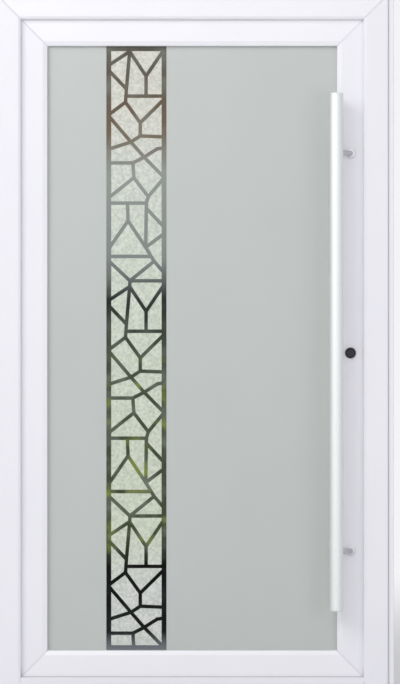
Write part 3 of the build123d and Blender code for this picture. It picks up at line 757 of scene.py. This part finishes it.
def weatherSeals(settings):
    # lip and fin profiles carried round frame and leaf, a comb of fins under the leaf, a lip round the glass
    low, high = boxOf("frame_gasket")
    edge, top, foot = high[0], high[2], low[2]
    square = [(edge, top), (-edge, top), (-edge, foot), (edge, foot)]
    diagonals = [(-1, -1), (1, -1), (1, 1), (-1, 1)]
    profile = lipProfile(leafFront - nibBack, edge - nibEdge, settings) + (0, nibBack)
    mesh = meshFromGrids("frameSeal", [{"points": mitred(profile, square, diagonals),
                                        "closeRows": True, "closeColumns": True}])
    addPiece("frameSeal", mesh, sealRubber, "frame", ["frame_gasket"])

    low, high = boxOf("leaf_gasket")
    edge, top, foot = high[0], high[2], low[2]
    hoop = [(edge, foot), (edge, top), (-edge, top), (-edge, foot)]
    profile = finProfile(flangeFront - innerFace, settings) * (1, -1) + (0, flangeFront)
    points = mitred(profile, hoop, [(-1, 0), (-1, -1), (1, -1), (1, 0)])
    mesh = meshFromGrids("leafSeal", [{"points": points, "closeColumns": True, "capped": True}])
    addPiece("leafSeal", mesh, sealRubber, "leaf", ["leaf_gasket"])

    low, high = boxOf("bottom_seal")
    tread = boxOf("threshold")[0][2] + settings["treadHeight"] + settings["shy"]
    step = (high[1] - low[1] - settings["finWidth"]) / (settings["fins"] - 1)
    starts = low[1] + step * np.arange(settings["fins"])
    under = high[2] - settings["plate"]
    shares = np.array([0, settings["finTaper"], 1 - settings["finTaper"], 1])
    comb = (starts[:, None] + shares * settings["finWidth"]).ravel()
    heights = np.tile([under, tread, tread, under], settings["fins"])
    outline = np.vstack([np.stack([comb, heights], axis=1), [(high[1], high[2]), (low[1], high[2])]])
    points = np.zeros((2, len(outline), 3))
    points[:, :, 0] = np.array([low[0], high[0]])[:, None]
    points[:, :, 1:] = outline[None]
    mesh = meshFromGrids("bottomSeal", [{"points": points, "closeColumns": True, "capped": True}])
    addPiece("bottomSeal", mesh, sealRubber, "leaf", ["bottom_seal"])

    glass = boxOf("inner_pane")[1][1]
    wide, tall = settings["beadLip"]
    waist = (wide * settings["beadWaist"][0], glass + tall * settings["beadWaist"][1])
    lip = softened([(0, glass), (wide, glass), waist, (0, glass + tall)],
                   settings["beadRound"], settings["beadSteps"])
    square = [(openingEdge, openingTop), (-openingEdge, openingTop),
              (-openingEdge, openingBottom), (openingEdge, openingBottom)]
    mesh = meshFromGrids("beadGasket", [{"points": mitred(lip, square, diagonals),
                                         "closeRows": True, "closeColumns": True}])
    addPiece("beadGasket", mesh, sealRubber, "leaf")


weatherSeals(sealSettings)
print("seals built")


screwSettings = {
    "radius": 3.6 * mm, "dome": 0.9 * mm, "slot": 1.1 * mm, "slotLength": 2.1 * mm, "recess": 1.1 * mm,
    "blur": 0.35 * mm, "rooted": 0.4 * mm, "rings": 13, "steps": 48,
    "turns": (0.7, 1.1),                           # from one screw to the next, and from plate to plate
}


def screwHead(place, outwards, turn, settings):
    # a dome over a disc, height = dome * (1 - (r / R)^2), less a cross-shaped recess, closed by a flat root
    r = np.linspace(0, settings["radius"], settings["rings"])[:, None]
    angle = np.linspace(0, 2 * math.pi, settings["steps"], endpoint=False)[None, :]
    along, across = np.abs(r * np.cos(angle + turn)), np.abs(r * np.sin(angle + turn))
    inArm = np.clip((settings["slot"] / 2 - np.minimum(along, across)) / settings["blur"] + 0.5, 0, 1)
    inReach = np.clip((settings["slotLength"] - np.maximum(along, across)) / settings["blur"] + 0.5, 0, 1)
    height = settings["dome"] * (1 - (r / settings["radius"]) ** 2) - settings["recess"] * inArm * inReach
    disc = np.stack([r * np.cos(angle), r * np.sin(angle), height], axis=-1)
    rim = disc[-1:] * (1, 1, 0) - (0, 0, settings["rooted"])
    local = np.concatenate([disc, rim, rim * (0, 0, 1)])
    outwards = np.asarray(outwards, float)
    side = squareTo(outwards)
    basis = np.stack([side, np.cross(outwards, side), outwards])
    return {"points": np.asarray(place) + local @ basis, "closeColumns": True}


hingeSettings = {
    "plate": 5 * mm,                               # thickness of a half's plate
    "capRound": 2 * mm, "capEdge": 0.4 * mm, "capHeight": 3 * mm, "capProud": 0.4 * mm,
    "steps": 48, "roundSteps": 7,
}
backplateSettings = {"shy": 2 * mm}                # its face, short of the cylinder's end
# where the screws sit on each kind of plate, as shares of its box across and up, and the level of their face
plateSettings = {
    "hingeFrameScrews": {
        "plates": hingeHalves["frame"], "body": "frame", "outwards": (0, 1, 0),
        "across": (0.2,), "up": (0.12, 0.5, 0.88), "level": innerFace + hingeSettings["plate"],
    },
    "hingeLeafScrews": {
        "plates": hingeHalves["leaf"], "body": "leaf", "outwards": (0, 1, 0),
        "across": (0.6, 0.85), "up": (0.14, 0.86), "level": leafBack + hingeSettings["plate"],
    },
    "keepScrews": {
        "plates": ["latch_keep", "upper_hook_keep", "lower_hook_keep"], "body": "frame",
        "outwards": (-1, 0, 0), "across": (0.5,), "up": (0.1, 0.9),
    },
    "faceplateScrews": {
        "plates": ["lock_faceplate"], "body": "leaf", "outwards": (1, 0, 0),
        "across": (0.5,), "up": (0.02, 0.2, 0.42, 0.58, 0.8, 0.98),
    },
    "backplateScrews": {
        "plates": ["inside_backplate"], "body": "leaf", "outwards": (0, 1, 0),
        "across": (0.5,), "up": (0.07, 0.93),
        "level": boxOf("lock_cylinder")[1][1] - backplateSettings["shy"],
    },
}


def plateScrews(name, plate, settings):
    # screws at the set shares of each plate's box, on the face that looks outwards or at the set level
    outwards, grids = np.array(plate["outwards"]), []
    face, span = int(np.argmax(np.abs(outwards))), int(np.argmin(np.abs(outwards[:2])))
    shares = [(across, up) for across in plate["across"] for up in plate["up"]]
    for number, node in enumerate(plate["plates"]):
        low, high = boxOf(node)
        for count, (across, up) in enumerate(shares):
            place = (low + high) / 2
            place[span] = low[span] + (high[span] - low[span]) * across
            place[2] = low[2] + (high[2] - low[2]) * up
            place[face] = plate.get("level", (high if outwards[face] > 0 else low)[face])
            turn = settings["turns"][0] * count + settings["turns"][1] * number
            grids.append(screwHead(place, outwards, turn, settings))
    addPiece(name, meshFromGrids(name, grids), zincPlate, plate["body"])


for name, plate in plateSettings.items():
    plateScrews(name, plate, screwSettings)


def hingeCaps(settings):
    # a low rounded lid turned about the pin at each end of every barrel
    joint = frame["joints"][0]["pos_m"]
    radius = boxOf(hingeHalves["frame"][0])[1][1] - joint[1] + settings["capProud"]
    lid = softened([(0, 0), (radius, 0), (radius, settings["capHeight"]), (0, settings["capHeight"])],
                   [0, settings["capEdge"], settings["capRound"], 0], settings["roundSteps"])
    grids = []
    for node in hingeHalves["frame"]:
        low, high = boxOf(node)
        for level, way in ((low[2], -1), (high[2], 1)):
            points = turned(lid, (joint[0], joint[1], level), (0, 0, way), settings["steps"])
            grids.append({"points": points, "closeColumns": True})
    addPiece("hingeCaps", meshFromGrids("hingeCaps", grids), coatedHardware, "frame")


hingeCaps(hingeSettings)
print("screws and hinge caps built")


stageSettings = {
    "floor": "E9E9EC", "floorRoughness": 0.9, "floorSize": 60.0,
    "back": "F4F4F6", "ambient": 0.49,
    "fade": (1.8, 5.5),                            # how far from the door the floor fades into the back
    "lamps": {
        "key": {"place": (-3.2, -4.6, 4.2), "aim": (0, 0, 1.2), "size": 3.0, "watts": 118},
        "front": {"place": (-1.2, -8.0, 4.2), "aim": (0, 0, 1.1), "size": 3.0, "watts": 116},
        "side": {"place": (2.8, -4.6, 0.8), "aim": (0.2, 0, 0.4), "size": 2.4, "watts": 28},
        "inside": {"place": (-1.6, 4.6, 3.4), "aim": (0, 0, 1.2), "size": 3.2, "watts": 112},
    },
}


def seenRays(tree):
    # 1 for rays that show the surround itself: to the camera, in a reflection or through glass
    path = addNode(tree, "ShaderNodeLightPath")
    seen = addNode(tree, "ShaderNodeMath", None,
                   {0: path.outputs["Is Camera Ray"], 1: path.outputs["Is Glossy Ray"]}, operation="MAXIMUM")
    seen = addNode(tree, "ShaderNodeMath", None,
                   {0: seen.outputs[0], 1: path.outputs["Is Transmission Ray"]}, operation="MAXIMUM")
    return seen.outputs[0]


def studio(settings):
    # a pale floor that fades into the white surround away from the door, and four soft lamps
    half = settings["floorSize"] / 2
    line = np.linspace(-half, half, 2)
    points = np.stack([*np.meshgrid(line, line, indexing="ij"), np.zeros((2, 2))], axis=-1)
    floor = bpy.data.objects.new("studioFloor", meshFromGrids("studioFloor", [{"points": points}]))
    if floor.data.polygons[0].normal.z < 0:
        floor.data.flip_normals()
    bpy.context.scene.collection.objects.link(floor)
    material, tree = startMaterial("studio_paper")
    paper = addNode(tree, "ShaderNodeBsdfPrincipled",
                    {"Base Color": linear(settings["floor"]), "Roughness": settings["floorRoughness"]})
    glow = addNode(tree, "ShaderNodeEmission", {"Color": linear(settings["back"])})
    place = addNode(tree, "ShaderNodeTexCoord").outputs["Object"]
    away = addNode(tree, "ShaderNodeVectorMath", None, {0: place}, operation="LENGTH").outputs["Value"]
    away = addNode(tree, "ShaderNodeMapRange",
                   {"From Min": settings["fade"][0], "From Max": settings["fade"][1]}, {"Value": away},
                   interpolation_type="SMOOTHSTEP").outputs[0]
    share = addNode(tree, "ShaderNodeMath", None, {0: away, 1: seenRays(tree)}, operation="MULTIPLY")
    both = addNode(tree, "ShaderNodeMixShader", None,
                   {0: share.outputs[0], 1: paper.outputs[0], 2: glow.outputs[0]})
    addNode(tree, "ShaderNodeOutputMaterial", None, {"Surface": both.outputs[0]})
    floor.data.materials.append(material)
    world = bpy.data.worlds.new("studioSurround")
    bpy.context.scene.world = world
    world.use_nodes = True
    tree = world.node_tree
    tree.nodes.clear()
    strength = addNode(tree, "ShaderNodeMapRange", {"To Min": settings["ambient"], "To Max": 1.0},
                       {"Value": seenRays(tree)})
    surround = addNode(tree, "ShaderNodeBackground", {"Color": linear(settings["back"])},
                       {"Strength": strength.outputs[0]})
    addNode(tree, "ShaderNodeOutputWorld", None, {"Surface": surround.outputs[0]})
    for name, one in settings["lamps"].items():
        lamp = bpy.data.lights.new(name + "Lamp", "AREA")
        lamp.shape, lamp.size, lamp.energy = "SQUARE", one["size"], one["watts"]
        holder = bpy.data.objects.new(name + "Lamp", lamp)
        holder.location = one["place"]
        way = np.array(one["aim"]) - np.array(one["place"])
        tilt, swing = math.atan2(math.hypot(way[0], way[1]), -way[2]), math.atan2(-way[0], way[1])
        holder.rotation_euler = (tilt, 0, swing)
        bpy.context.scene.collection.objects.link(holder)


studio(stageSettings)


cameraSettings = {
    "imageHeight": 684, "scale": 3.1 * mm,         # pixels, and what one shows at the frame's front face
    "distance": 11.0, "x": 24 * mm, "z": 1065 * mm, "sensor": 36,
}


def placeCamera(settings):
    # square on to the door's outside, so far off that one pixel is the set size at the frame's front face
    camera = bpy.data.cameras.new("doorCamera")
    camera.sensor_width = settings["sensor"]
    camera.lens = settings["sensor"] * settings["distance"] / (settings["imageHeight"] * settings["scale"])
    holder = bpy.data.objects.new("doorCamera", camera)
    holder.location = (settings["x"], frontFace - settings["distance"], settings["z"])
    holder.rotation_euler = (math.radians(90), 0, 0)
    bpy.context.scene.collection.objects.link(holder)
    bpy.context.scene.camera = holder


placeCamera(cameraSettings)
bpy.context.scene.view_settings.view_transform = "Standard"
print("studio and camera set")
